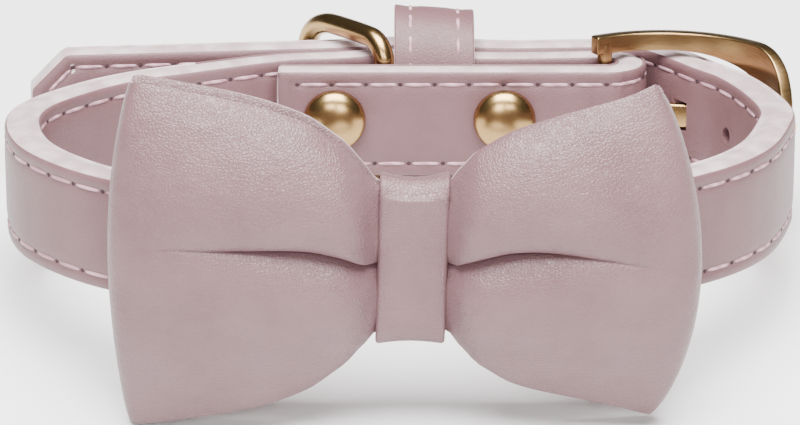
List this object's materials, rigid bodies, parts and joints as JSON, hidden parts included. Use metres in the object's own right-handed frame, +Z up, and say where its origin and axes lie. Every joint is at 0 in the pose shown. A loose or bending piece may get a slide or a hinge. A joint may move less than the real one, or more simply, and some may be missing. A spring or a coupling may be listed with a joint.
{
  "type": "pet bow tie collar",
  "caption": "Padded leather pet collar fastened in a loop by a curved metal buckle, with a D-ring, a keeper loop and a folded leather bow in front.",
  "frame": {"origin": "bottom centre of the bounding box, on the surface that the collar stands on", "axes": "+Z up, the bow faces -Y, the buckle is at +X and +Y"},
  "size_m": [0.1032, 0.0804, 0.0436],
  "materials": {
    "strap_leather": "smooth coated leather in dusty mauve, stitched along both edges",
    "bow_leather": "soft coated leather in dusty mauve with a fine grain",
    "satin_gold": "satin pale gold plating"
  },
  "bodies": {
    "collar": {"strap": "strap_leather", "keeper": "strap_leather", "bow": "bow_leather", "knot": "bow_leather", "buckle_frame": "satin_gold", "prong": "satin_gold", "rivet_left": "satin_gold", "rivet_right": "satin_gold"},
    "ring": {"d_ring": "satin_gold"}
  },
  "joints": [
    {"name": "ring_swing", "type": "hinge", "parent": "collar", "child": "ring", "pos_m": [-0.00314, 0.02453, 0.01211], "axis": [0, 0.171, 0.9853], "range_deg": [-35, 0]}
  ]
}
